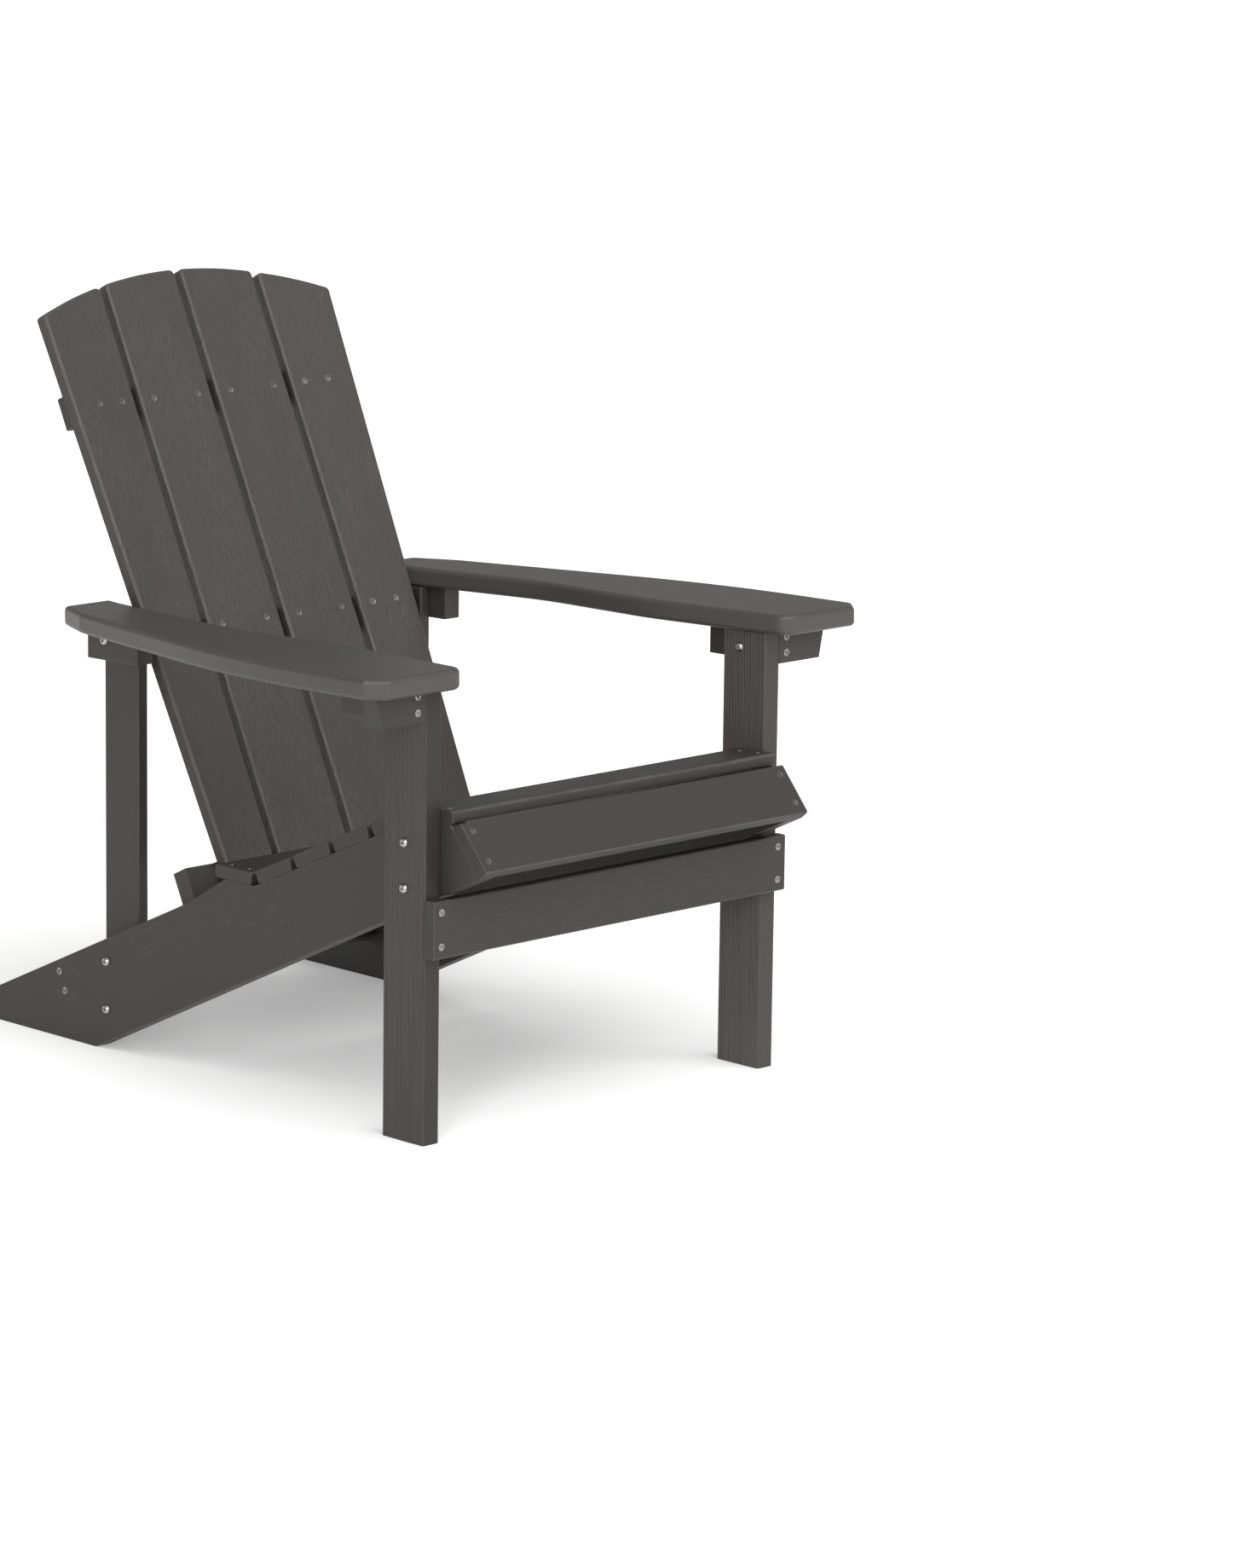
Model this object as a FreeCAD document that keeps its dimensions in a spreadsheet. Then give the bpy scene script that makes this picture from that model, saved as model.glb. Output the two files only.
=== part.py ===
import FreeCAD, Part

import math
import os
import re

import Sketcher
from FreeCAD import Placement, Rotation, Vector

# Adirondack chair in plastic lumber. Millimetres and degrees.
# +Z is up, the chair faces -Y, and X runs across it. The origin is on the floor, in the middle of
# the chair's box. In the side profiles, y is measured backwards from the front face of the front
# legs and z up from the floor.

DIMENSIONS = {
    # whole chair, to the apron's lower corner and to the heels
    "apron_reach": 77.5,
    "heel_reach": 852.5,
    # stock that the boards are cut from
    "heavy": 25,
    "board": 16,
    "edge_round": 2.5,
    "end_round": 1,
    "slat_round": 3.5,
    "front_edge_round": 6,
    # front legs and the sides of the frame
    "legs_half_width": 294,
    "leg_width": 71.5,
    "rake": 25.2,
    "side_front_height": 296.5,
    "heel_height": 30,
    "seat_low_height": 254.5,
    "seat_flat_rear": 383,
    "ramp_foot": 330.6,
    "ramp_angle": 24.07,
    "ramp_head": 45.1,
    "front_pitch": 3.4,
    # rear posts
    "post_front": 575.5,
    "post_width": 64,
    "post_foot": 30,
    # armrests: outline seen from above, from the nose round the outside to the tail and back
    "arm_under": 547,
    "arm_slope": 1.37,
    "arm_round": 6,
    "arm_front": 38,
    "arm_nose_inner": 266,
    "arm_nose_outer": 386,
    "arm_outer": 407,
    "arm_nose_side": 15,
    "arm_bow_start": 70,
    "arm_bow_end": 350,
    "arm_bow_outer": 375,
    "arm_bow": 1241,
    "arm_tail_start": 598,
    "arm_tail_outer": 318,
    "arm_rear": 660,
    "arm_rear_outer": 291,
    "arm_rear_inner": 218,
    "arm_tail_end": 628,
    "arm_tail_inner": 225,
    "waist_rear": 385,
    "waist_rear_inner": 259,
    "waist_front": 190,
    "waist_front_inner": 249,
    "arm_waist": 420,
    "arm_corner": 22,
    # blocks and brackets under the armrests
    "block_length": 95,
    "block_height": 40,
    "rear_block_front": 547,
    "bracket_top": 78.5,
    "bracket_foot": 70.5,
    # stretcher and apron
    "stretcher_foot": 226.3,
    "stretcher_height": 69.4,
    "apron_foot": 336.9,
    "apron_angle": 49.56,
    "apron_width": 69,
    # seat slats
    "seat_slat": 66,
    "seat_gap": 9.2,
    "seat_rear": 401.8,
    "ramp_start": 321.9,
    # back
    "lean": 26.13,
    "back_y": 459.7,
    "back_z": 270.5,
    "back_foot": -54,
    "back_slat": 116.5,
    "back_gap": 9.5,
    "back_bend": 3.4,
    "back_half_low": 210.4,
    "back_half_high": 237.5,
    "back_top": 746,
    "top_radius": 637,
    "slat_corner": 7,
    "back_slat_round": 4.5,
    "rail_height": 42,
    "upper_rail_half": 224,
    "upper_rail_foot": 559,
    "middle_rail_foot": 252,
    "lower_rail_half": 259,
    "lower_rail_seat": 214,
    # brace between the feet
    "brace_y": 694.8,
    "brace_z": 72.5,
    "brace_width": 45,
    # places of the fasteners
    "leg_bolt_inset": 36,
    "leg_bolt_low": 304.3,
    "leg_bolt_high": 359,
    "post_bolt_inset": 32.5,
    "post_bolt_low": 51.8,
    "post_bolt_high": 112.7,
    "front_bolt_inset": 19,
    "front_bolt_drop": 21.2,
    "rear_bolt_inset": 62.5,
    "rear_bolt_drop": 15.1,
    "upper_row": 580,
    "middle_row": 281,
    "lower_row": -33,
    "inner_slat_screw": 27,
    "inner_slat_far_screw": 99.5,
    "outer_slat_screw": 153,
    "outer_slat_far_screw": 190.5,
    "stretcher_screw_low": 241,
    "stretcher_screw_high": 282,
    "bracket_screw_low": 519,
    "bracket_screw_high": 538.5,
    "apron_screw_high": 12.5,
    "apron_screw_low": 53.5,
    "seat_screw_spacing": 32,
    "brace_screw_spacing": 25.5,
    "front_arm_screw_fore": 65,
    "front_arm_screw_aft": 105,
    "rear_arm_screw_fore": 560,
    "rear_arm_screw_aft": 628,
    # fasteners
    "screw_head": 4.4,
    "screw_sink": 2.6,
    "screw_shank": 2.2,
    "screw_point": 5,
    "screw_socket": 3.5,
    "screw_rim": 0.4,
    "screw_lip": 0.8,
    "screw_dish": 0.9,
    "slat_screw_length": 30,
    "bracket_screw_length": 40,
    "seat_screw_length": 46,
    "board_screw_length": 50,
    "rail_screw_length": 60,
    "bolt_head": 5.8,
    "bolt_dome": 3.4,
    "bolt_shank": 3,
    "bolt_socket": 4.4,
    "nut_across": 10,
    "nut_height": 5,
    "washer_radius": 6.5,
    "washer_height": 1.2,
}

NODES = []

doc = FreeCAD.newDocument("adirondack_chair")
sheet = doc.addObject("Spreadsheet::Sheet", "Sizes")
for row, (alias, number) in enumerate(DIMENSIONS.items(), start=1):
    sheet.set(f"A{row}", alias)
    sheet.set(f"B{row}", str(number))
    sheet.setAlias(f"B{row}", alias)
doc.recompute()


# ---- expressions, read from the sheet ----

def bound(text):
    """Write a formula of aliases as an expression on the sheet."""
    def full(match):
        word = match.group()
        return f"Sizes.{word}" if word in DIMENSIONS else word
    return re.sub(r"[a-z_]+", full, str(text))


def value(text):
    """The number that a formula of aliases gives."""
    return float(sheet.evalExpression(bound(text)))


def under_arm(y):
    """Height of the armrests' underside, y behind the front of the legs."""
    return f"arm_under - ({y}) * tan(arm_slope)"


# ---- sketches and features ----

def new_body(name):
    body = doc.addObject("PartDesign::Body", name)
    body.Label = name
    return body


def new_sketch(body, suffix, role="XY_Plane"):
    sketch = body.newObject("Sketcher::SketchObject", body.Name + suffix)
    base = next(item for item in body.Origin.OriginFeatures if item.Role == role)
    sketch.AttachmentSupport = [(base, "")]
    sketch.MapMode = "FlatFace"
    return sketch


def bind(sketch, constraint, text):
    """Add a dimension to a sketch and bind it to the sheet."""
    index = sketch.addConstraint(constraint)
    sketch.setExpression(f"Constraints[{index}]", bound(text))


def pin(sketch, curve, end, across, along):
    """Fix one end of a curve at a place given by two formulas."""
    for kind, text, axis in (("DistanceX", across, -2), ("DistanceY", along, -1)):
        if abs(value(text)) < 1e-9:
            sketch.addConstraint(Sketcher.Constraint("PointOnObject", curve, end, axis))
        else:
            bind(sketch, Sketcher.Constraint(kind, -1, 1, curve, end, value(text)), text)


def arc_between(start, finish, radius):
    """Arc from start to finish. A positive radius has its centre on the right of that way."""
    chord = finish - start
    drop = math.sqrt(radius ** 2 - (chord.Length / 2) ** 2)
    to_centre = Vector(chord.y, -chord.x, 0).normalize() * drop * math.copysign(1, radius)
    circle = Part.Circle(start + chord * 0.5 + to_centre, Vector(0, 0, 1), abs(radius))
    first, last = (finish, start) if radius > 0 else (start, finish)
    return Part.ArcOfCircle(circle, circle.parameter(first), circle.parameter(last))


def draw_outline(sketch, corners, arcs=None):
    """Closed outline through the corners. arcs maps an edge's number to its radius."""
    points = [Vector(value(across), value(along), 0) for across, along in corners]
    count = len(points)
    ends = []
    for index in range(count):
        start = points[index]
        finish = points[(index + 1) % count]
        if arcs and index in arcs:
            radius = value(arcs[index])
            curve = sketch.addGeometry(arc_between(start, finish, radius))
            bind(sketch, Sketcher.Constraint("Radius", curve, abs(radius)), f"abs({arcs[index]})")
            ends.append((curve, 2, 1) if radius > 0 else (curve, 1, 2))
        else:
            curve = sketch.addGeometry(Part.LineSegment(start, finish))
            ends.append((curve, 1, 2))
    for index in range(count):
        curve, first, last = ends[index]
        after, after_first, _ = ends[(index + 1) % count]
        sketch.addConstraint(Sketcher.Constraint("Coincident", curve, last, after, after_first))
        pin(sketch, curve, first, *corners[index])


def pad(body, sketch, length):
    feature = body.newObject("PartDesign::Pad", body.Name + "_pad")
    feature.Profile = sketch
    feature.setExpression("Length", bound(length))
    body.Tip = feature
    doc.recompute()
    return feature


def along_edges(shape, direction):
    """Names of the straight edges that run in a direction."""
    names = []
    for index, edge in enumerate(shape.Edges, start=1):
        if edge.Curve.TypeId == "Part::GeomLine":
            if abs(abs(edge.Curve.Direction.dot(direction)) - 1) < 1e-6:
                names.append(f"Edge{index}")
    return names


def edges_near(shape, places):
    """Names of the edges square to the sketch that start at places in its plane."""
    names = []
    for name in along_edges(shape, Vector(0, 0, 1)):
        middle = shape.getElement(name).CenterOfMass
        for across, along in places:
            if math.hypot(middle.x - value(across), middle.y - value(along)) < 0.1:
                names.append(name)
    return names


def round_edges(body, names, radius, suffix="_round"):
    base = body.Tip
    feature = body.newObject("PartDesign::Fillet", body.Name + suffix)
    feature.Base = (base, names)
    feature.setExpression("Radius", bound(radius))
    body.Tip = feature
    doc.recompute()


def soften(body, radius, suffix="_soften"):
    """Round every edge of a body."""
    base = body.Tip
    feature = body.newObject("PartDesign::Fillet", body.Name + suffix)
    feature.Base = (base, [])
    feature.UseAllEdges = True
    feature.setExpression("Radius", bound(radius))
    body.Tip = feature
    doc.recompute()


def soften_ends(body, axis):
    """Round the edges at a board's two ends, where the board runs along an axis of its sketch."""
    shape = body.Shape
    ends = (shape.BoundBox.getPoint(0)[axis], shape.BoundBox.getPoint(6)[axis])
    names = []
    for index, edge in enumerate(shape.Edges, start=1):
        places = [vertex.Point[axis] for vertex in edge.Vertexes]
        if any(max(abs(place - end) for place in places) < 1e-4 for end in ends):
            names.append(f"Edge{index}")
    round_edges(body, names, "end_round", "_ends")


def outlined(name, corners, thickness, arcs=None):
    """Board whose outline is drawn on its local XY plane and padded up to its thickness."""
    body = new_body(name + "_blank")
    sketch = new_sketch(body, "_outline")
    draw_outline(sketch, corners, arcs)
    pad(body, sketch, thickness)
    return body


# ---- placements ----

SIDE_ON = Rotation(Vector(1, 1, 1), 120)
# The apron's rounded lower corner reaches less far than its sharp one would.
APRON_BLUNT = "edge_round * (cos(apron_angle) + sin(apron_angle) - 1)"
LEG_FRONT = -value(f"(heel_reach - apron_reach + {APRON_BLUNT}) / 2")


def side_place(x, y="0", z="0", turn="0"):
    """Place a piece drawn as (y, z) and padded along +X, turned about X by an angle."""
    spot = Vector(value(x), LEG_FRONT + value(y), value(z))
    return Placement(spot, Rotation(Vector(1, 0, 0), value(turn)) * SIDE_ON)


BACK_TURN = Rotation(Vector(1, 0, 0), 90 - value("lean"))
BACK_ORIGIN = Vector(0, LEG_FRONT + value("back_y"), value("back_z"))


def on_back(x, up, out="0"):
    """Point of the back: x across, up along the slats, out in front of their face."""
    return BACK_ORIGIN + BACK_TURN.multVec(Vector(value(x), value(up), value(out)))


# The outer slats turn in a little, about their inner rear edges, so that the back is hollow.
BEND = "(back_gap * 1.5 + back_slat)"


def slat_plane(side):
    """Plane of a back slat's rear face: side 0 for the inner slats, -1 or 1 for an outer one."""
    turn = Rotation(Vector(0, 1, 0), -side * value("back_bend"))
    return Placement(on_back(f"{side} * {BEND}", "0", "-board"), BACK_TURN * turn)


def beside_back(up, out):
    """The same place in a side profile, as formulas for y and z."""
    return (f"back_y + ({up}) * sin(lean) - ({out}) * cos(lean)",
            f"back_z + ({up}) * cos(lean) + ({out}) * sin(lean)")


# ---- fasteners ----

def pocket(body, sketch, depth):
    cut = body.newObject("PartDesign::Pocket", sketch.Name + "_cut")
    cut.Profile = sketch
    cut.setExpression("Length", bound(depth))
    body.Tip = cut
    doc.recompute()


def turned_body(name, profile, socket, socket_depth, dish=None):
    """Fastener turned about Z from a profile of (radius, height), with a hexagonal socket."""
    body = new_body(name)
    sketch = new_sketch(body, "_profile", "XZ_Plane")
    draw_outline(sketch, profile)
    turn = body.newObject("PartDesign::Revolution", name + "_turn")
    turn.Profile = sketch
    turn.ReferenceAxis = (sketch, ["V_Axis"])
    turn.Angle = 360
    body.Tip = turn
    doc.recompute()
    envelope = turn.Shape.copy()
    top = Placement(Vector(0, 0, value(profile[-1][1])), Rotation())
    if dish:
        bowl = new_sketch(body, "_dish")
        bowl.AttachmentOffset = top
        rim = bowl.addGeometry(Part.Circle(Vector(0, 0, 0), Vector(0, 0, 1), value(dish)))
        bowl.addConstraint(Sketcher.Constraint("Coincident", rim, 3, -1, 1))
        bind(bowl, Sketcher.Constraint("Radius", rim, value(dish)), dish)
        pocket(body, bowl, "screw_dish")
    recess = new_sketch(body, "_socket")
    recess.AttachmentOffset = top
    draw_outline(recess, [(f"{socket} / sqrt(3) * cos({60 * corner})",
                           f"{socket} / sqrt(3) * sin({60 * corner})") for corner in range(6)])
    pocket(body, recess, socket_depth)
    if body.Shape.Volume >= envelope.Volume:
        raise RuntimeError(f"{name}: the socket cuts nothing")
    return body.Shape.copy(), envelope


def screw(name, length):
    """Countersunk screw with a dished head, its rim at z 0 and its point at -length."""
    profile = [("0", f"-({length})"),
               ("screw_shank", f"-({length} - screw_point)"),
               ("screw_shank", "-screw_sink"),
               ("screw_head", "-screw_rim"),
               ("screw_head", "0"),
               ("0", "0")]
    return turned_body(name, profile, "screw_socket", "screw_sink", "screw_head - screw_lip")


def bolt(name, length):
    """Button-head bolt, the underside of its head at z 0 and its end at -length."""
    profile = [("0", f"-({length})"),
               ("bolt_shank * 0.8", f"-({length})"),
               ("bolt_shank", f"-({length} - bolt_shank * 0.2)"),
               ("bolt_shank", "0"),
               ("bolt_head", "0"),
               ("bolt_head", "bolt_dome * 0.28"),
               ("bolt_head * 0.9", "bolt_dome * 0.62"),
               ("bolt_head * 0.74", "bolt_dome * 0.88"),
               ("bolt_head * 0.52", "bolt_dome"),
               ("0", "bolt_dome")]
    return turned_body(name, profile, "bolt_socket", "bolt_dome * 0.75")


def copies(shape, places):
    """Separate solids: one copy of a shape at each (point, direction its head faces)."""
    solids = []
    for point, facing in places:
        copy = shape.copy()
        copy.Placement = Placement(point, Rotation(Vector(0, 0, 1), facing)) * shape.Placement
        solids.append(copy)
    return Part.makeCompound(solids)


def group(name, shapes, places):
    """Node of identical fasteners, and the hole-shaped tool that seats them."""
    finished, envelope = shapes
    node = doc.addObject("Part::Feature", name)
    node.Shape = copies(finished, places)
    node.Label = name
    NODES.append(node)
    tool = doc.addObject("Part::Feature", name + "_holes")
    tool.Shape = copies(envelope, places)
    return tool


def hardware(name, shape, places):
    """Node of nuts or washers, which need no holes."""
    node = doc.addObject("Part::Feature", name)
    node.Shape = copies(shape, places)
    node.Label = name
    NODES.append(node)


def finish_piece(body, label, tools=()):
    """Drill a board for its fasteners and keep it as a node."""
    piece = body
    if tools:
        drills = doc.addObject("Part::Compound", label + "_drills")
        drills.Links = list(tools)
        piece = doc.addObject("Part::Cut", label)
        piece.Base = body
        piece.Tool = drills
    piece.Label = label
    NODES.append(piece)


SIDES = (("left", -1), ("right", 1))
STRINGER_OUT = "(legs_half_width - heavy)"
STRINGER_IN = "(legs_half_width - 2 * heavy)"
POST_IN = "(legs_half_width - 2 * heavy - board)"
BLOCK_MIDDLE = "(legs_half_width + heavy / 2)"
LEG_MIDDLE = "(legs_half_width - heavy / 2)"
STRINGER_MIDDLE = "(legs_half_width - 1.5 * heavy)"


def at(x, y, z):
    """Point x across, y behind the front of the legs and z up."""
    return Vector(value(x), LEG_FRONT + value(y), value(z))


def both_sides(x, spots, outward):
    """Places on both sides, at the same (y, z), with heads facing out or in."""
    places = []
    for _, side in SIDES:
        for y, z in spots:
            places.append((at(f"({x}) * {side}", y, z), Vector(side * outward, 0, 0)))
    return places


# Bolts that carry the load. A nut leaves a bolt's radius of its end showing, and the bolts
# through the rear blocks go on into the ends of the middle rail.
LEG_BOLTS = [("leg_bolt_inset", "leg_bolt_low"), ("leg_bolt_inset", "leg_bolt_high")]
POST_BOLTS = [("post_front + post_bolt_inset", "post_bolt_low"),
              ("post_front + post_bolt_inset", "post_bolt_high")]
FRONT_BOLT_Y = "heavy + front_bolt_inset"
FRONT_BLOCK_BOLT = [(FRONT_BOLT_Y, f"{under_arm(FRONT_BOLT_Y)} - front_bolt_drop")]
REAR_BOLT_Y = "rear_block_front + rear_bolt_inset"
REAR_BLOCK_BOLT = [(REAR_BOLT_Y, f"{under_arm(REAR_BOLT_Y)} - rear_bolt_drop")]

leg_bolt = bolt("leg_bolt_master", "2 * heavy + washer_height + nut_height + bolt_shank")
post_bolt = bolt("post_bolt_master", "heavy + board + washer_height + nut_height + bolt_shank")
rail_bolt = bolt("rail_bolt_master", "2 * (heavy + board)")

leg_bolt_holes = group("leg_bolts", leg_bolt, both_sides("legs_half_width", LEG_BOLTS, 1))
post_bolt_holes = group("post_bolts", post_bolt, both_sides(STRINGER_OUT, POST_BOLTS, 1))
front_block_holes = group("front_block_bolts", leg_bolt,
                          both_sides(STRINGER_OUT, FRONT_BLOCK_BOLT, -1))
rear_block_holes = group("rear_block_bolts", rail_bolt,
                         both_sides(STRINGER_OUT, REAR_BLOCK_BOLT, 1))


def nut_shape():
    """Hexagonal nut standing on z 0, with its hole the size of the bolt's shank."""
    prism = doc.addObject("Part::Prism", "nut_prism")
    prism.Polygon = 6
    prism.setExpression("Circumradius", bound("nut_across / sqrt(3)"))
    prism.setExpression("Height", bound("nut_height"))
    hole = doc.addObject("Part::Cylinder", "nut_hole")
    hole.setExpression("Radius", bound("bolt_shank"))
    hole.setExpression("Height", bound("nut_height"))
    nut = doc.addObject("Part::Cut", "nut_master")
    nut.Base = prism
    nut.Tool = hole
    doc.recompute()
    return nut.Shape.copy()


def washer_shape():
    """Flat washer standing on z 0."""
    disc = doc.addObject("Part::Cylinder", "washer_disc")
    disc.setExpression("Radius", bound("washer_radius"))
    disc.setExpression("Height", bound("washer_height"))
    hole = doc.addObject("Part::Cylinder", "washer_hole")
    hole.setExpression("Radius", bound("bolt_shank"))
    hole.setExpression("Height", bound("washer_height"))
    washer = doc.addObject("Part::Cut", "washer_master")
    washer.Base = disc
    washer.Tool = hole
    doc.recompute()
    return washer.Shape.copy()


def nut_places(gap):
    """Ends of all the bolts, a gap away from the boards that they leave."""
    inner = (both_sides(f"{STRINGER_IN} - ({gap})", LEG_BOLTS, -1)
             + both_sides(f"{POST_IN} - ({gap})", POST_BOLTS, -1))
    outer = both_sides(f"legs_half_width + heavy + ({gap})", FRONT_BLOCK_BOLT, 1)
    return inner + outer


hardware("bolt_washers", washer_shape(), nut_places("0"))
hardware("bolt_nuts", nut_shape(), nut_places("washer_height"))

# Screws: the short ones hold slats, the long ones go into the ends and edges of boards.
INNER_SCREWS = ("inner_slat_screw", "inner_slat_far_screw")
OUTER_SCREWS = ("outer_slat_screw", "outer_slat_far_screw")
back_screw = screw("back_screw_master", "slat_screw_length")
bracket_screw = screw("bracket_screw_master", "bracket_screw_length")
seat_screw = screw("seat_screw_master", "seat_screw_length")
board_screw = screw("board_screw_master", "board_screw_length")
rail_screw = screw("rail_screw_master", "rail_screw_length")


def back_row(up):
    """Two screws in each back slat, at one height up the back."""
    spots = [(0, f"{side} * {x}") for x in INNER_SCREWS for _, side in SIDES]
    spots += [(side, f"{side} * ({x} - {BEND})") for x in OUTER_SCREWS for _, side in SIDES]
    places = []
    for side, x in spots:
        plane = slat_plane(side)
        face = Vector(value(x), value(up), value("board"))
        places.append((plane.multVec(face), plane.Rotation.multVec(Vector(0, 0, 1))))
    return places


upper_row_holes = group("upper_back_screws", back_screw, back_row("upper_row"))
middle_row_holes = group("middle_back_screws", back_screw, back_row("middle_row"))
lower_row_holes = group("lower_back_screws", back_screw, back_row("lower_row"))


def forward_pair(x, y, low, high):
    """Two screws on each side, one above the other, that face the front."""
    return [(at(f"{side} * {x}", y, z), Vector(0, -1, 0)) for _, side in SIDES for z in (low, high)]


stretcher_holes = group("stretcher_screws", board_screw,
                        forward_pair(LEG_MIDDLE, "-board", "stretcher_screw_low",
                                     "stretcher_screw_high"))
bracket_holes = group("bracket_screws", bracket_screw,
                      forward_pair(BLOCK_MIDDLE, "0", "bracket_screw_low", "bracket_screw_high"))

# The apron's face: down is along its width, out is away from the chair.
APRON_DOWN = Vector(0, -math.cos(math.radians(value("apron_angle"))),
                    -math.sin(math.radians(value("apron_angle"))))
APRON_OUT = Vector(0, APRON_DOWN.z, -APRON_DOWN.y)
apron_places = []
for _, side in SIDES:
    for down in ("apron_screw_high", "apron_screw_low"):
        spot = at(f"{side} * {STRINGER_MIDDLE}", "-apron_reach", "apron_foot")
        spot += APRON_DOWN * value(f"{down} - apron_width")
        apron_places.append((spot, APRON_OUT))
apron_holes = group("apron_screws", board_screw, apron_places)

BRACE_SPOTS = [(f"brace_y + {half} * brace_screw_spacing * sin(rake)",
                f"brace_z + {half} * brace_screw_spacing * cos(rake)") for half in (-0.5, 0.5)]
brace_holes = group("brace_screws", board_screw, both_sides(STRINGER_OUT, BRACE_SPOTS, 1))

SEAT_SLATS = 6
RAMP_TOP = "seat_low_height + (ramp_foot - ramp_head) * tan(ramp_angle)"


def on_seat(index):
    """Seat slat from 0 at the back: its front-bottom corner (y, z) and the angle it rises at."""
    if index == 0:
        return "seat_rear - seat_slat", "seat_low_height", "0"
    if index == SEAT_SLATS - 1:
        return ("ramp_head - seat_slat * cos(front_pitch)",
                f"{RAMP_TOP} + seat_slat * sin(front_pitch)", "front_pitch")
    climb = f"({index - 1} * (seat_slat + seat_gap) + seat_slat)"
    return (f"ramp_start - {climb} * cos(ramp_angle)",
            f"seat_low_height + (ramp_foot - ramp_start) * tan(ramp_angle) + {climb} * sin(ramp_angle)",
            "ramp_angle")


seat_places = []
for index in range(SEAT_SLATS):
    low_y, low_z, rise = on_seat(index)
    tilt = Rotation(Vector(1, 0, 0), -value(rise))
    for _, side in SIDES:
        for half in (-0.5, 0.5):
            back = value(f"seat_slat / 2 + {half} * seat_screw_spacing")
            top = tilt.multVec(Vector(side * value(STRINGER_MIDDLE), back, value("board")))
            seat_places.append((at("0", low_y, low_z) + top, tilt.multVec(Vector(0, 0, 1))))
seat_holes = group("seat_screws", seat_screw, seat_places)

# The lower rail rests on the side boards by its ends.
REST_MIDDLE = f"({STRINGER_IN} + lower_rail_half) / 2"
rail_places = [(on_back(f"{side} * {REST_MIDDLE}", "back_foot + rail_height", "-board - heavy / 2"),
                BACK_TURN.multVec(Vector(0, 1, 0))) for _, side in SIDES]
rail_holes = group("lower_rail_screws", rail_screw, rail_places)

ARM_TURN = Rotation(Vector(1, 0, 0), -value("arm_slope"))
DOWN = ARM_TURN.multVec(Vector(0, 0, -1))


def under_block(x, y):
    """Places on both sides, on the underside of a block."""
    return [(at(f"{side} * {x}", y, f"{under_arm(y)} - block_height"), DOWN) for _, side in SIDES]


arm_places = (under_block(BLOCK_MIDDLE, "front_arm_screw_fore")
              + under_block(BLOCK_MIDDLE, "front_arm_screw_aft")
              + under_block(STRINGER_MIDDLE, "rear_arm_screw_fore")
              + under_block(STRINGER_MIDDLE, "rear_arm_screw_aft"))
arm_holes = group("armrest_screws", board_screw, arm_places)


# ---- side frames ----

def nose_corner(top_z, slope):
    """Where the nose's end, parallel to the apron, meets an edge that leaves (0, top_z)."""
    foot_y = value("board * sin(apron_angle) - apron_reach")
    foot_z = value("apron_foot - board * cos(apron_angle)")
    run = value(f"({top_z} - ({foot_z}) - ({foot_y}) * tan({slope}))")
    run /= value(f"sin(apron_angle) + cos(apron_angle) * tan({slope})")
    return (f"{foot_y} + {run} * cos(apron_angle)", f"{foot_z} + {run} * sin(apron_angle)")


# From the toe along the floor to the heel, up to the lower rail, along the seat, to the nose.
STRINGER = [("side_front_height / tan(rake)", "0"),
            ("heel_reach", "0"),
            ("heel_reach", "heel_height"),
            beside_back("back_foot", "-board - heavy"),
            beside_back("back_foot", "-board"),
            ("seat_flat_rear", "seat_low_height"),
            ("ramp_foot", "seat_low_height"),
            ("ramp_head", RAMP_TOP),
            nose_corner(f"{RAMP_TOP} + ramp_head * tan(front_pitch)", "front_pitch"),
            nose_corner("side_front_height", "rake")]


def level_rounds(body, radius):
    """Round the long edges of a board padded along X."""
    round_edges(body, along_edges(body.Shape, Vector(0, 0, 1)), radius)


def cross_board(label, half, run, rise, place, tools, radius="edge_round", top_front=None):
    """Rectangular board that runs across the chair, run deep and rise tall before it is turned."""
    corners = [("0", "0"), (run, "0"), (run, rise), ("0", rise)]
    body = outlined(label, corners, f"2 * ({half})")
    if top_front:
        round_edges(body, edges_near(body.Shape, corners[3:]), top_front, "_front")
    level_rounds(body, radius)
    soften_ends(body, 2)
    body.Placement = side_place(f"-({half})", *place)
    finish_piece(body, label, tools)


def upright(label, x, corners, thickness, tools):
    """Board that stands on the side of the frame, its grain upright, with its long edges rounded."""
    body = outlined(label, corners, thickness)
    round_edges(body, along_edges(body.Shape, Vector(0, 1, 0)), "edge_round")
    soften_ends(body, 1)
    body.Placement = side_place(x)
    finish_piece(body, label, tools)


def side_x(side, inner, thickness):
    """Start of a board's thickness along X, from its inner face's distance off the middle."""
    return inner if side > 0 else f"-({inner}) - ({thickness})"


def block_corners(front):
    """Side view of a block hung under the armrest."""
    rear = f"({front}) + block_length"
    return [(front, f"{under_arm(front)} - block_height"),
            (rear, f"{under_arm(rear)} - block_height"),
            (rear, under_arm(rear)),
            (front, under_arm(front))]


def bracket(label, side):
    """Bracket that faces forward under the armrest, its outer end slanting in towards the foot."""
    top = under_arm("heavy")
    root = f"{side} * legs_half_width"
    corners = [(root, f"{top} - block_height"),
               (f"{side} * (legs_half_width + bracket_foot)", f"{top} - block_height"),
               (f"{side} * (legs_half_width + bracket_top)", top),
               (root, top)]
    body = outlined(label, corners, "heavy")
    soften(body, "end_round")
    body.Placement = Placement(at("0", "heavy", "0"), Rotation(Vector(1, 0, 0), 90))
    finish_piece(body, label, [bracket_holes])


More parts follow.
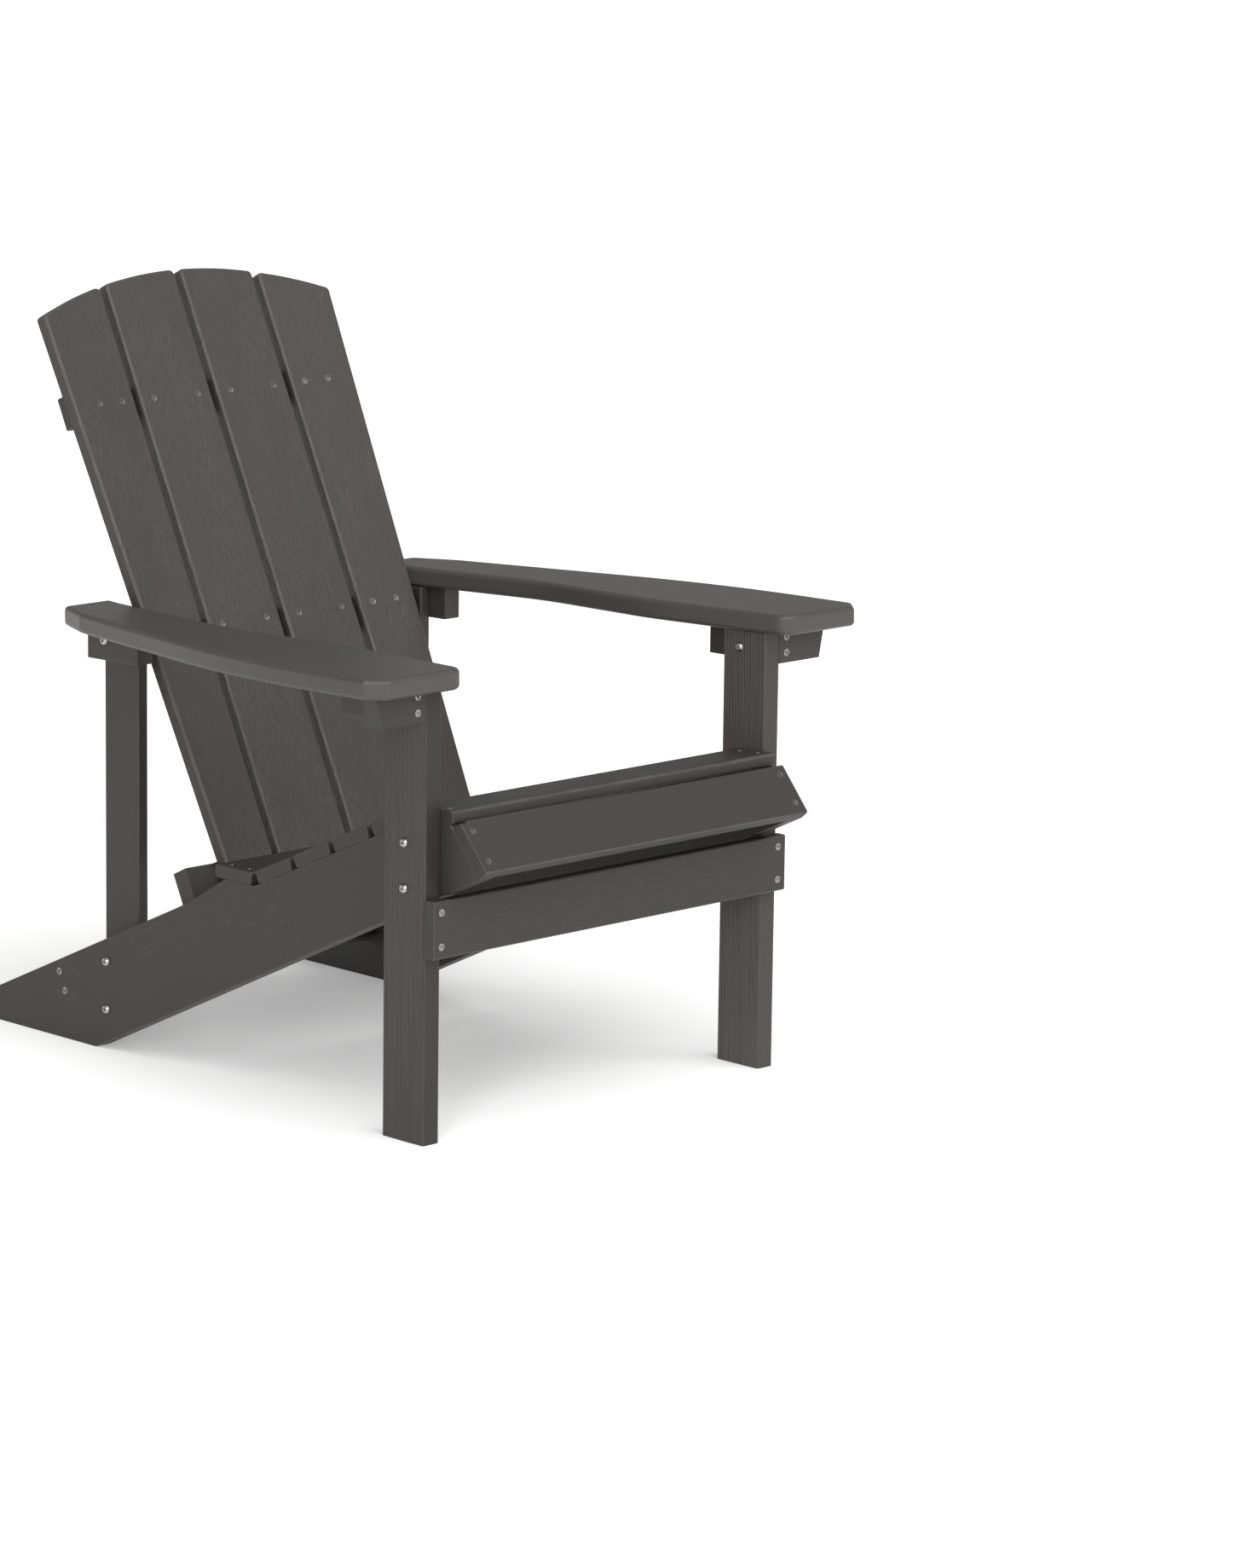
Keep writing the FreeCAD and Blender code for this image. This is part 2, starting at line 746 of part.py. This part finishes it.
def armrest(label, side):
    """Paddle-shaped armrest: wide at the front, waisted inside, narrowing to the back."""
    outline = [("arm_nose_inner", "-arm_front"),
               ("arm_nose_outer", "-arm_front"),
               ("arm_outer", "-arm_nose_side"),
               ("arm_outer", "arm_bow_start"),
               ("arm_bow_outer", "arm_bow_end"),
               ("arm_tail_outer", "arm_tail_start"),
               ("arm_rear_outer", "arm_rear"),
               ("arm_rear_inner", "arm_rear"),
               ("arm_tail_inner", "arm_tail_end"),
               ("waist_rear_inner", "waist_rear"),
               ("waist_front_inner", "waist_front")]
    corners = [(f"{side} * ({across})", along) for across, along in outline]
    body = outlined(label, corners, "heavy", {3: f"{-side} * arm_bow"})
    round_edges(body, edges_near(body.Shape, corners[9:11]), "arm_waist", "_waist")
    round_edges(body, edges_near(body.Shape, corners[0:1]), "arm_corner", "_nose")
    soften(body, "arm_round")
    body.Placement = Placement(at("0", "0", "arm_under"), ARM_TURN)
    finish_piece(body, label, [arm_holes])


for label, side in SIDES:
    stringer = outlined(f"{label}_stringer", STRINGER, "heavy")
    soften(stringer, "end_round")
    stringer.Placement = side_place(side_x(side, STRINGER_IN, "heavy"))
    finish_piece(stringer, f"{label}_stringer",
                 [leg_bolt_holes, post_bolt_holes, apron_holes, brace_holes, seat_holes, rail_holes])
    upright(f"{label}_front_leg", side_x(side, STRINGER_OUT, "heavy"),
            [("0", "0"), ("leg_width", "0"), ("leg_width", under_arm("leg_width")),
             ("0", under_arm("0"))],
            "heavy", [leg_bolt_holes, front_block_holes, stretcher_holes])
    post_rear = "post_front + post_width"
    upright(f"{label}_rear_post", side_x(side, POST_IN, "board"),
            [("post_front", "post_foot"), (post_rear, "post_foot"),
             (post_rear, under_arm(post_rear)), ("post_front", under_arm("post_front"))],
            "board", [post_bolt_holes, rear_block_holes])
    for name, inner, front, tools in (
            ("front_block", "legs_half_width", "heavy", [front_block_holes, bracket_holes, arm_holes]),
            ("rear_block", STRINGER_IN, "rear_block_front", [rear_block_holes, arm_holes])):
        block = outlined(f"{label}_{name}", block_corners(front), "heavy")
        soften(block, "end_round")
        block.Placement = side_place(side_x(side, inner, "heavy"))
        finish_piece(block, f"{label}_{name}", tools)
    bracket(f"{label}_bracket", side)
    armrest(f"{label}_armrest", side)


# ---- boards across the chair ----

cross_board("front_stretcher", "legs_half_width", "board", "stretcher_height",
            ("-board", "stretcher_foot"), [stretcher_holes])
cross_board("front_apron", STRINGER_OUT, "apron_width", "board",
            ("-apron_reach + board * sin(apron_angle)", "apron_foot - board * cos(apron_angle)",
             "apron_angle"), [apron_holes])
cross_board("rear_brace", STRINGER_IN, "brace_width", "heavy",
            ("brace_y - brace_width / 2 * sin(rake) + heavy / 2 * cos(rake)",
             "brace_z - brace_width / 2 * cos(rake) - heavy / 2 * sin(rake)", "90 - rake"),
            [brace_holes])

SEAT_NAMES = ("rear", "second", "third", "fourth", "fifth", "front")
for index, name in enumerate(SEAT_NAMES):
    low_y, low_z, rise = on_seat(index)
    cross_board(f"{name}_seat_slat", STRINGER_OUT, "seat_slat", "board",
                (low_y, low_z, f"-({rise})"), [seat_holes], "slat_round",
                "front_edge_round" if name == "front" else None)


def back_rail(label, half, foot, thickness, tools, seat=None):
    """Rail behind the back slats, bent like them. Past seat, its ends are left straight."""
    bent = seat or half
    rise = f"{thickness} + (({bent}) - {BEND}) * tan(back_bend)"
    right = [(half, "0"), (half, thickness), (bent, thickness), (bent, rise), (BEND, thickness)]
    if seat is None:
        del right[1:3]
    left = [(f"-({across})", out) for across, out in reversed(right)]
    body = outlined(label, right + left, "rail_height")
    round_edges(body, [f"Edge{number}" for number, edge in enumerate(body.Shape.Edges, start=1)
                       if abs(edge.Vertexes[0].Z - edge.Vertexes[-1].Z) < 0.01], "end_round")
    body.Placement = Placement(on_back("0", f"{foot} + rail_height", f"-board - {thickness}"),
                               BACK_TURN * Rotation(Vector(1, 0, 0), 90))
    finish_piece(body, label, tools)


back_rail("upper_back_rail", "upper_rail_half", "upper_rail_foot", "board", [upper_row_holes])
back_rail("middle_back_rail", POST_IN, "middle_rail_foot", "board",
          [middle_row_holes, rear_block_holes])
back_rail("lower_back_rail", "lower_rail_half", "back_foot", "heavy",
          [lower_row_holes, rail_holes], "lower_rail_seat")


def slat_top(x):
    """Height up the back of its arched top, x from the middle."""
    return f"back_top - top_radius + sqrt(top_radius ^ 2 - ({x}) ^ 2)"


def back_slat(label, side, low_near, low_far, high_near, high_far):
    """Slat of the back, between two edges given from left to right, with an arched top."""
    outline = [(low_near, "back_foot"), (high_near, slat_top(high_near)),
               (high_far, slat_top(high_far)), (low_far, "back_foot")]
    corners = [(f"{across} - ({side} * {BEND})", up) for across, up in outline]
    body = outlined(label, corners, "board", {1: "top_radius"})
    round_edges(body, edges_near(body.Shape, corners[1:3]), "slat_corner", "_corners")
    face = [f"Edge{number}" for number, edge in enumerate(body.Shape.Edges, start=1)
            if min(vertex.Z for vertex in edge.Vertexes) > value("board") - 0.01]
    round_edges(body, face, "back_slat_round")
    body.Placement = slat_plane(side)
    finish_piece(body, label, [upper_row_holes, middle_row_holes, lower_row_holes])


inner_edge = "back_gap / 2"
outer_edge = "back_gap / 2 + back_slat"
back_slat("left_outer_back_slat", -1, "-back_half_low", f"-{BEND}", "-back_half_high", f"-{BEND}")
back_slat("left_inner_back_slat", 0, f"-({outer_edge})", f"-({inner_edge})",
          f"-({outer_edge})", f"-({inner_edge})")
back_slat("right_inner_back_slat", 0, inner_edge, outer_edge, inner_edge, outer_edge)
back_slat("right_outer_back_slat", 1, BEND, "back_half_low", BEND, "back_half_high")


# ---- checks and files ----

doc.recompute()
for item in doc.Objects:
    if "Invalid" in item.State or "Error" in item.State:
        raise RuntimeError(f"{item.Name} failed: {item.State}")
os.makedirs("parts", exist_ok=True)
for node in NODES:
    if node.Shape.isNull() or not node.Shape.isValid():
        raise RuntimeError(f"{node.Label} has no valid shape")
    node.Shape.exportStep(f"parts/{node.Label}.step")
    print(f"{node.Label}: {len(node.Shape.Solids)} solid, {node.Shape.Volume / 1000:.1f} cm3")
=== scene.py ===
import math
from collections import namedtuple

import bpy
from mathutils import Matrix, Vector


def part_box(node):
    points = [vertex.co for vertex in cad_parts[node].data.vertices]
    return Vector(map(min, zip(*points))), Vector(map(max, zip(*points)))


# Adirondack chair in dark grey plastic lumber with stainless fasteners. Metres.
# X runs across the chair, it faces -Y and +Z is up.

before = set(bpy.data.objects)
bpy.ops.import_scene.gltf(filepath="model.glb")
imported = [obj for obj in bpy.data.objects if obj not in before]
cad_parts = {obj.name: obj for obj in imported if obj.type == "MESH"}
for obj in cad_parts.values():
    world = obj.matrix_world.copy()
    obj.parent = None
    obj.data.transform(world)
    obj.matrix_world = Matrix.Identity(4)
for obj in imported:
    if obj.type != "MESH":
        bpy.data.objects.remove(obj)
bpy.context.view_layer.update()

# Slopes in the side plane, in degrees.
LEAN = 26.13  # back, from upright, towards the rear
RAKE = 25.2  # stringers, from level, falling to the rear
RAMP = 24.07  # second to fifth seat slats, falling to the rear
FRONT_PITCH = 3.4  # front seat slat, falling to the rear
ARM_SLOPE = 1.37  # armrests, falling to the rear
APRON_ANGLE = 49.56  # apron, from level, falling to the front

# Colours, in linear light. The plastic drifts from one of its greys to the greenish one.
WARM_GREY = (0.0405, 0.0338, 0.0326, 1)
ARM_GREY = (0.0375, 0.0345, 0.0330, 1)
GREEN_GREY = (0.0368, 0.0348, 0.0322, 1)
# Lighter grey painted onto the rounded edges as a highlight, where light would catch them.
EDGE_HIGHLIGHT_GREY = (0.074, 0.069, 0.066, 1)
WHITE = (1, 1, 1, 1)
FLOOR_WHITE = (0.93, 0.93, 0.925, 1)

# How far the grain is embossed, in metres.
FINE_DEPTH = 0.00042
DASH_DEPTH = 0.00030
COMB_DEPTH = 0.0011
SKIN_DEPTH = 0.00012
STEEL_SCUFF_DEPTH = 0.00003

COMB_GROOVES_PER_METRE = 205

# Times a board's index, this shifts its noises, so that no two boards have the same grain.
SHIFT_STEP = (3.17, 5.29, 7.43)

# Largest part of a unit normal along one of the board's axes: on a flat side and on an edge,
# and where the combing of a leg starts and is full.
FLAT_SIDE, ROUNDED_EDGE = 0.985, 0.86
COMBING_STARTS, COMBING_FULL = 0.90, 0.98

# Gloss: roughness drops by these on the ridges of the grain and on the edges under the painted
# highlight.
RIDGE_POLISH = 0.10
HIGHLIGHT_EDGE_POLISH = 0.08
PLASTIC_IOR = 1.45
STEEL_ROUGHNESS = (0.14, 0.30)

# Floor and light.
FLOOR_REACH = 60
FLOOR_ROUGHNESS = 0.9
FLOOR_GLOW = 0.24
SKY_STRENGTH = (1.1, 0.32)  # up to the horizon, and well above it
SKY_FADE = (0.06, 0.14)  # heights on the unit sphere between which it changes
Sun = namedtuple("Sun", "name heading spread strength")
SUNS = (Sun("key", (0.14, 0.64, -0.75), 75, 3.0),
        Sun("fill", (0.80, 0.52, -0.30), 18, 0.75))

# Camera: angles in degrees, lens and sensor in millimetres, place in metres.
YAW, PITCH, ROLL = 44.733, 11.419, 0.8
LENS, SENSOR = 139.11, 36
EYE_X, EYE_HEIGHT = -4.9698, 1.8268
EYE_AHEAD_OF_LEGS = 5.0503


# ---- node helpers ----

class Tree:
    """Short ways to add nodes to one material."""

    def __init__(self, material):
        self.tree = material.node_tree
        self.shader = self.tree.nodes["Principled BSDF"]

    def add(self, kind, **settings):
        node = self.tree.nodes.new("ShaderNode" + kind)
        for key, setting in settings.items():
            setattr(node, key, setting)
        return node

    def put(self, socket, source):
        """Feed a socket from another socket or from a plain value."""
        if isinstance(source, bpy.types.NodeSocket):
            self.tree.links.new(source, socket)
        else:
            socket.default_value = source

    def math(self, operation, *sources):
        node = self.add("Math", operation=operation)
        for socket, source in zip(node.inputs, sources):
            self.put(socket, source)
        return node.outputs[0]

    def split(self, vector):
        """The three coordinates of a vector."""
        node = self.add("SeparateXYZ")
        self.put(node.inputs[0], vector)
        return list(node.outputs)

    def stretch(self, vector, scale, shift=(0, 0, 0)):
        node = self.add("Mapping")
        self.put(node.inputs["Vector"], vector)
        node.inputs["Scale"].default_value = scale
        node.inputs["Location"].default_value = shift
        return node.outputs[0]

    def noise(self, vector, detail=2.0, roughness=0.5):
        node = self.add("TexNoise")
        self.put(node.inputs["Vector"], vector)
        node.inputs["Scale"].default_value = 1
        node.inputs["Detail"].default_value = detail
        node.inputs["Roughness"].default_value = roughness
        return node.outputs[0]

    def remap(self, source, low, high, to_low=0.0, to_high=1.0, smooth=True):
        """Map low..high of a value to another range and hold it inside that range."""
        node = self.add("MapRange", interpolation_type="SMOOTHSTEP" if smooth else "LINEAR")
        for socket, number in zip(node.inputs[1:5], (low, high, to_low, to_high)):
            socket.default_value = number
        self.put(node.inputs[0], source)
        return node.outputs[0]

    def mix(self, factor, first, second):
        node = self.add("Mix", data_type="RGBA")
        self.put(node.inputs[0], factor)
        self.put(node.inputs[6], first)
        self.put(node.inputs[7], second)
        return node.outputs[2]

    def tint(self, colour, factor):
        """Brighten or darken a colour by a factor."""
        node = self.add("VectorMath", operation="SCALE")
        self.put(node.inputs[0], colour)
        self.put(node.inputs["Scale"], factor)
        return node.outputs[0]

    def emboss(self, height, depth, strength=1.0):
        """Let a relief of that height, depth metres deep, bend the shader's normal."""
        bump = self.add("Bump")
        bump.inputs["Strength"].default_value = strength
        bump.inputs["Distance"].default_value = depth
        self.put(bump.inputs["Height"], height)
        self.put(self.shader.inputs["Normal"], bump.outputs[0])


def new_material(name):
    material = bpy.data.materials.new(name)
    material.use_nodes = True
    return material, Tree(material)


# ---- the boards' own axes ----

def sloped(degrees):
    """Unit vector in the side plane, degrees above the backward direction."""
    return Vector((0, math.cos(math.radians(degrees)), math.sin(math.radians(degrees))))


ACROSS = Vector((1, 0, 0))
UPRIGHT = Vector((0, 0, 1))


def board_axes(name):
    """Grain direction and direction of the thickness for a board."""
    if "stringer" in name:
        return sloped(-RAKE), ACROSS
    if "front_leg" in name or "rear_post" in name:
        return UPRIGHT, ACROSS
    if "_block" in name:
        return sloped(-ARM_SLOPE), ACROSS
    if "armrest" in name:
        return sloped(-ARM_SLOPE), sloped(90 - ARM_SLOPE)
    if "bracket" in name or "stretcher" in name:
        return ACROSS, sloped(0)
    if "apron" in name:
        return ACROSS, sloped(90 + APRON_ANGLE)
    if "brace" in name:
        return ACROSS, sloped(90 - RAKE)
    if "back_rail" in name:
        return ACROSS, sloped(-LEAN)
    if "back_slat" in name:
        return sloped(90 - LEAN), sloped(-LEAN)
    place_in_seat = name.split("_")[0]
    pitch = {"rear": 0, "front": FRONT_PITCH}.get(place_in_seat, RAMP)
    return ACROSS, sloped(90 - pitch)


def board_frame(tree, name):
    """Position and normal along the board's (width, thickness, length)."""
    along, thick = board_axes(name)
    turn = Matrix((thick.cross(along), thick, along)).to_euler("XYZ")
    source = tree.add("TexCoord")
    turned = []
    for output, kind in (("Object", "POINT"), ("Normal", "NORMAL")):
        node = tree.add("Mapping", vector_type=kind)
        tree.put(node.inputs["Vector"], source.outputs[output])
        node.inputs["Rotation"].default_value = turn
        turned.append(node.outputs[0])
    return turned


# ---- surfaces of the plastic ----
# A place is given along the board's (width, thickness, length). The three numbers of a stretch
# are roughly how many features of the noise fit in a metre of each. Every grain returns a height
# of about 0 to 1 and the depth of its relief.

def wavering(tree, place, shift, frequency, reach):
    """The board's coordinates pushed sideways by a slow noise, so that the grain wanders."""
    waver = tree.noise(tree.stretch(place, frequency, shift), detail=1)
    bend = tree.add("VectorMath", operation="MULTIPLY_ADD")
    tree.put(bend.inputs[0], waver)
    bend.inputs[1].default_value = (reach, reach, 0)
    tree.put(bend.inputs[2], place)
    return bend.outputs[0]


def patchy(tree, place, shift, frequency, low, high, least):
    """A share of the full depth that changes from patch to patch of the board."""
    patches = tree.noise(tree.stretch(place, frequency, shift), detail=1)
    return tree.remap(patches, low, high, least, 1.0)


def fine_grain(tree, place, shift):
    """Short wavy embossed fibres, 1 to 2 mm wide and one or two centimetres long."""
    bent = wavering(tree, place, shift, (9, 9, 16), 0.008)
    fibres = tree.noise(tree.stretch(bent, (470, 470, 62), shift), 3, 0.62)
    share = patchy(tree, place, shift, (22, 22, 7), 0.35, 0.65, 0.35)
    return tree.math("MULTIPLY", tree.remap(fibres, 0.36, 0.64), share), FINE_DEPTH


def dashed_grain(tree, place, shift):
    """Sparse short scratches along the board."""
    bent = wavering(tree, place, shift, (12, 12, 14), 0.006)
    fibres = tree.noise(tree.stretch(bent, (400, 400, 40), shift), 3, 0.6)
    share = patchy(tree, place, shift, (26, 26, 9), 0.42, 0.66, 0.15)
    return tree.math("MULTIPLY", tree.remap(fibres, 0.45, 0.66), share), DASH_DEPTH


def combed_grain(tree, place, shift):
    """Parallel grooves that run the whole length, about 5 mm apart, with fine lines between."""
    bent = wavering(tree, place, shift, (4, 4, 3.2), 0.008)
    width = tree.split(bent)[0]
    phase = tree.math("FRACT", tree.math("MULTIPLY", width, COMB_GROOVES_PER_METRE))
    from_middle = tree.math("ABSOLUTE", tree.math("SUBTRACT", phase, 0.5))
    uneven = tree.noise(tree.stretch(bent, (150, 1, 5), shift), 2, 0.6)
    groove = tree.math("MULTIPLY", tree.remap(from_middle, 0.30, 0.48),
                       tree.remap(uneven, 0.35, 0.65, 0.35, 1.0))
    lines = tree.noise(tree.stretch(bent, (700, 1, 9), shift), 2, 0.6)
    crests = tree.math("SUBTRACT", 0.75, groove)
    return tree.math("MULTIPLY_ADD", lines, 0.35, crests), COMB_DEPTH


def smooth_skin(tree, place, shift):
    """Extruded skin with only a faint lengthwise draw."""
    return tree.noise(tree.stretch(place, (240, 240, 6), shift), 2, 0.5), SKIN_DEPTH


# Contrast is how far the grain brightens and darkens the colour. The fourth number is how much of
# the lighter edge colour, a painted highlight, shows on the edges. The fifth is a factor on the
# board's
# colour: its tone, and on the front legs also painted light and shade.
Surface = namedtuple("Surface", "grain contrast roughness wear shade")


def surface_of(name):
    # Painted light and shade: both front legs are the same plastic. The right leg's factor is
    # raised to stand in for light on its shaded inner face, and the left leg's is lowered as
    # painted shade on its outer face.
    if name == "right_front_leg":
        return Surface(combed_grain, 0.28, 0.50, 0.4, 1.45)
    if "front_leg" in name:
        return Surface(combed_grain, 0.28, 0.50, 0.4, 0.80)
    if "back_slat" in name:
        return Surface(fine_grain, 0.12, 0.52, 0.8, 1.16)
    if "armrest" in name:
        return Surface(smooth_skin, 0.03, 0.46, 0.06, 1.52)
    if "post" in name:
        return Surface(smooth_skin, 0.05, 0.52, 0.4, 0.76)
    if "_block" in name or "bracket" in name:
        return Surface(smooth_skin, 0.05, 0.52, 0.4, 0.92)
    return Surface(dashed_grain, 0.08, 0.52, 0.75, 0.86)


def edge_mask(tree, sides):
    """1 on rounded edges and corners, where the normal lies along none of the board's axes."""
    flattest = tree.math("MAXIMUM", tree.math("MAXIMUM", sides[0], sides[1]), sides[2])
    return tree.remap(flattest, FLAT_SIDE, ROUNDED_EDGE)


def lumber(name, index):
    """Material of one board, with its grain along the board and its own stretch of the pattern."""
    surface = surface_of(name)
    material, tree = new_material(name + "_lumber")
    place, normal = board_frame(tree, name)
    shift = [index * step for step in SHIFT_STEP]
    sides = [tree.math("ABSOLUTE", part) for part in tree.split(normal)]
    height, depth = surface.grain(tree, place, shift)
    if surface.grain is combed_grain:
        wide_face = tree.remap(sides[1], COMBING_STARTS, COMBING_FULL)
        height = tree.math("MULTIPLY", height, wide_face)

    drift = tree.remap(tree.noise(tree.stretch(place, (9, 9, 4), shift)), 0.38, 0.62)
    colour = tree.mix(drift, ARM_GREY if "armrest" in name else WARM_GREY, GREEN_GREY)
    # This factor carries the board's tone, and on the front legs also painted light and shade.
    darkest = surface.shade * (1 - surface.contrast)
    lightest = surface.shade * (1 + surface.contrast)
    colour = tree.tint(colour, tree.remap(height, 0, 1, darkest, lightest, smooth=False))
    # Painted highlight: the rounded edges are lightened towards the edge grey, more in some
    # patches than others, to stand in for light catching them.
    highlight_patches = tree.noise(tree.stretch(place, (60, 60, 30), shift))
    wear = tree.math("MULTIPLY", edge_mask(tree, sides),
                     tree.remap(highlight_patches, 0.3, 0.6, surface.wear / 2, surface.wear))
    colour = tree.mix(wear, colour, EDGE_HIGHLIGHT_GREY)

    dullest = surface.roughness + RIDGE_POLISH / 2
    shine = tree.math("MULTIPLY_ADD", height, -RIDGE_POLISH, dullest)
    shine = tree.math("MULTIPLY_ADD", wear, -HIGHLIGHT_EDGE_POLISH, shine)
    tree.emboss(height, depth)
    tree.put(tree.shader.inputs["Base Color"], colour)
    tree.put(tree.shader.inputs["Roughness"], shine)
    tree.shader.inputs["IOR"].default_value = PLASTIC_IOR
    return material


def stainless(name, dark, light):
    """Turned stainless steel, with faint blotches and scuffs in the gloss."""
    material, tree = new_material(name)
    place = tree.add("TexCoord").outputs["Object"]
    blotch = tree.noise(tree.stretch(place, (500, 500, 500)), 3, 0.6)
    scuffs = tree.noise(tree.stretch(place, (2600, 2600, 900)), 2, 0.7)
    colour = tree.mix(tree.remap(blotch, 0.3, 0.7), (dark, dark * 0.98, dark * 0.95, 1),
                      (light, light * 0.98, light * 0.96, 1))
    tree.put(tree.shader.inputs["Base Color"], colour)
    tree.put(tree.shader.inputs["Roughness"], tree.remap(scuffs, 0.3, 0.7, *STEEL_ROUGHNESS))
    tree.emboss(scuffs, STEEL_SCUFF_DEPTH, 0.5)
    tree.shader.inputs["Metallic"].default_value = 1
    return material


def dress_nodes():
    bright_steel = stainless("bolt_steel", 0.30, 0.54)
    dull_steel = stainless("screw_steel", 0.23, 0.44)
    for index, name in enumerate(sorted(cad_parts)):
        if name.endswith(("_bolts", "_washers", "_nuts")):
            material = bright_steel
        elif name.endswith("_screws"):
            material = dull_steel
        else:
            material = lumber(name, index)
        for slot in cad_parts[name].material_slots:
            slot.material = material


# ---- studio ----

def make_floor():
    """Wide plain floor at the height of the feet."""
    mesh = bpy.data.meshes.new("studio_floor")
    corners = [(x * FLOOR_REACH, y * FLOOR_REACH, 0)
               for x, y in ((-1, -1), (1, -1), (1, 1), (-1, 1))]
    mesh.from_pydata(corners, [], [(0, 1, 2, 3)])
    floor = bpy.data.objects.new("studio_floor", mesh)
    bpy.context.scene.collection.objects.link(floor)
    material, tree = new_material("floor_paint")
    tree.shader.inputs["Base Color"].default_value = FLOOR_WHITE
    tree.shader.inputs["Roughness"].default_value = FLOOR_ROUGHNESS
    tree.shader.inputs["Emission Color"].default_value = WHITE
    tree.shader.inputs["Emission Strength"].default_value = FLOOR_GLOW
    mesh.materials.append(material)


def make_sky():
    """Even white surroundings, strongest near the horizon."""
    world = bpy.data.worlds.new("studio")
    bpy.context.scene.world = world
    world.use_nodes = True
    nodes, links = world.node_tree.nodes, world.node_tree.links
    background = nodes["Background"]
    background.inputs["Color"].default_value = WHITE
    direction = nodes.new("ShaderNodeTexCoord")
    height = nodes.new("ShaderNodeSeparateXYZ")
    falloff = nodes.new("ShaderNodeMapRange")
    for socket, number in zip(falloff.inputs[1:5], SKY_FADE + SKY_STRENGTH):
        socket.default_value = number
    links.new(direction.outputs["Generated"], height.inputs[0])
    links.new(height.outputs[2], falloff.inputs[0])
    links.new(falloff.outputs[0], background.inputs["Strength"])


def make_lamps():
    """A very broad key from above the front and a low fill from the left."""
    for sun in SUNS:
        data = bpy.data.lights.new(sun.name, "SUN")
        data.energy = sun.strength
        data.angle = math.radians(sun.spread)
        lamp = bpy.data.objects.new(sun.name, data)
        lamp.rotation_euler = Vector(sun.heading).to_track_quat("-Z", "Y").to_euler()
        bpy.context.scene.collection.objects.link(lamp)


def make_camera():
    """Long lens, three-quarter view from the chair's left front, a little above it."""
    yaw, pitch, roll = (math.radians(angle) for angle in (YAW, PITCH, ROLL))
    forward = Vector((math.sin(yaw) * math.cos(pitch),
                      math.cos(yaw) * math.cos(pitch),
                      -math.sin(pitch)))
    level = Vector((math.cos(yaw), -math.sin(yaw), 0))
    upward = level.cross(forward)
    right = level * math.cos(roll) + upward * math.sin(roll)
    top = upward * math.cos(roll) - level * math.sin(roll)
    turn = Matrix((right, top, -forward)).transposed()
    leg_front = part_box("left_front_leg")[0].y
    eye = Vector((EYE_X, leg_front - EYE_AHEAD_OF_LEGS, EYE_HEIGHT))
    data = bpy.data.cameras.new("camera")
    data.lens = LENS
    data.sensor_width = SENSOR
    camera = bpy.data.objects.new("camera", data)
    camera.matrix_world = Matrix.Translation(eye) @ turn.to_4x4()
    bpy.context.scene.collection.objects.link(camera)
    bpy.context.scene.camera = camera


dress_nodes()
make_floor()
make_sky()
make_lamps()
make_camera()
bpy.context.scene.view_settings.view_transform = "Standard"
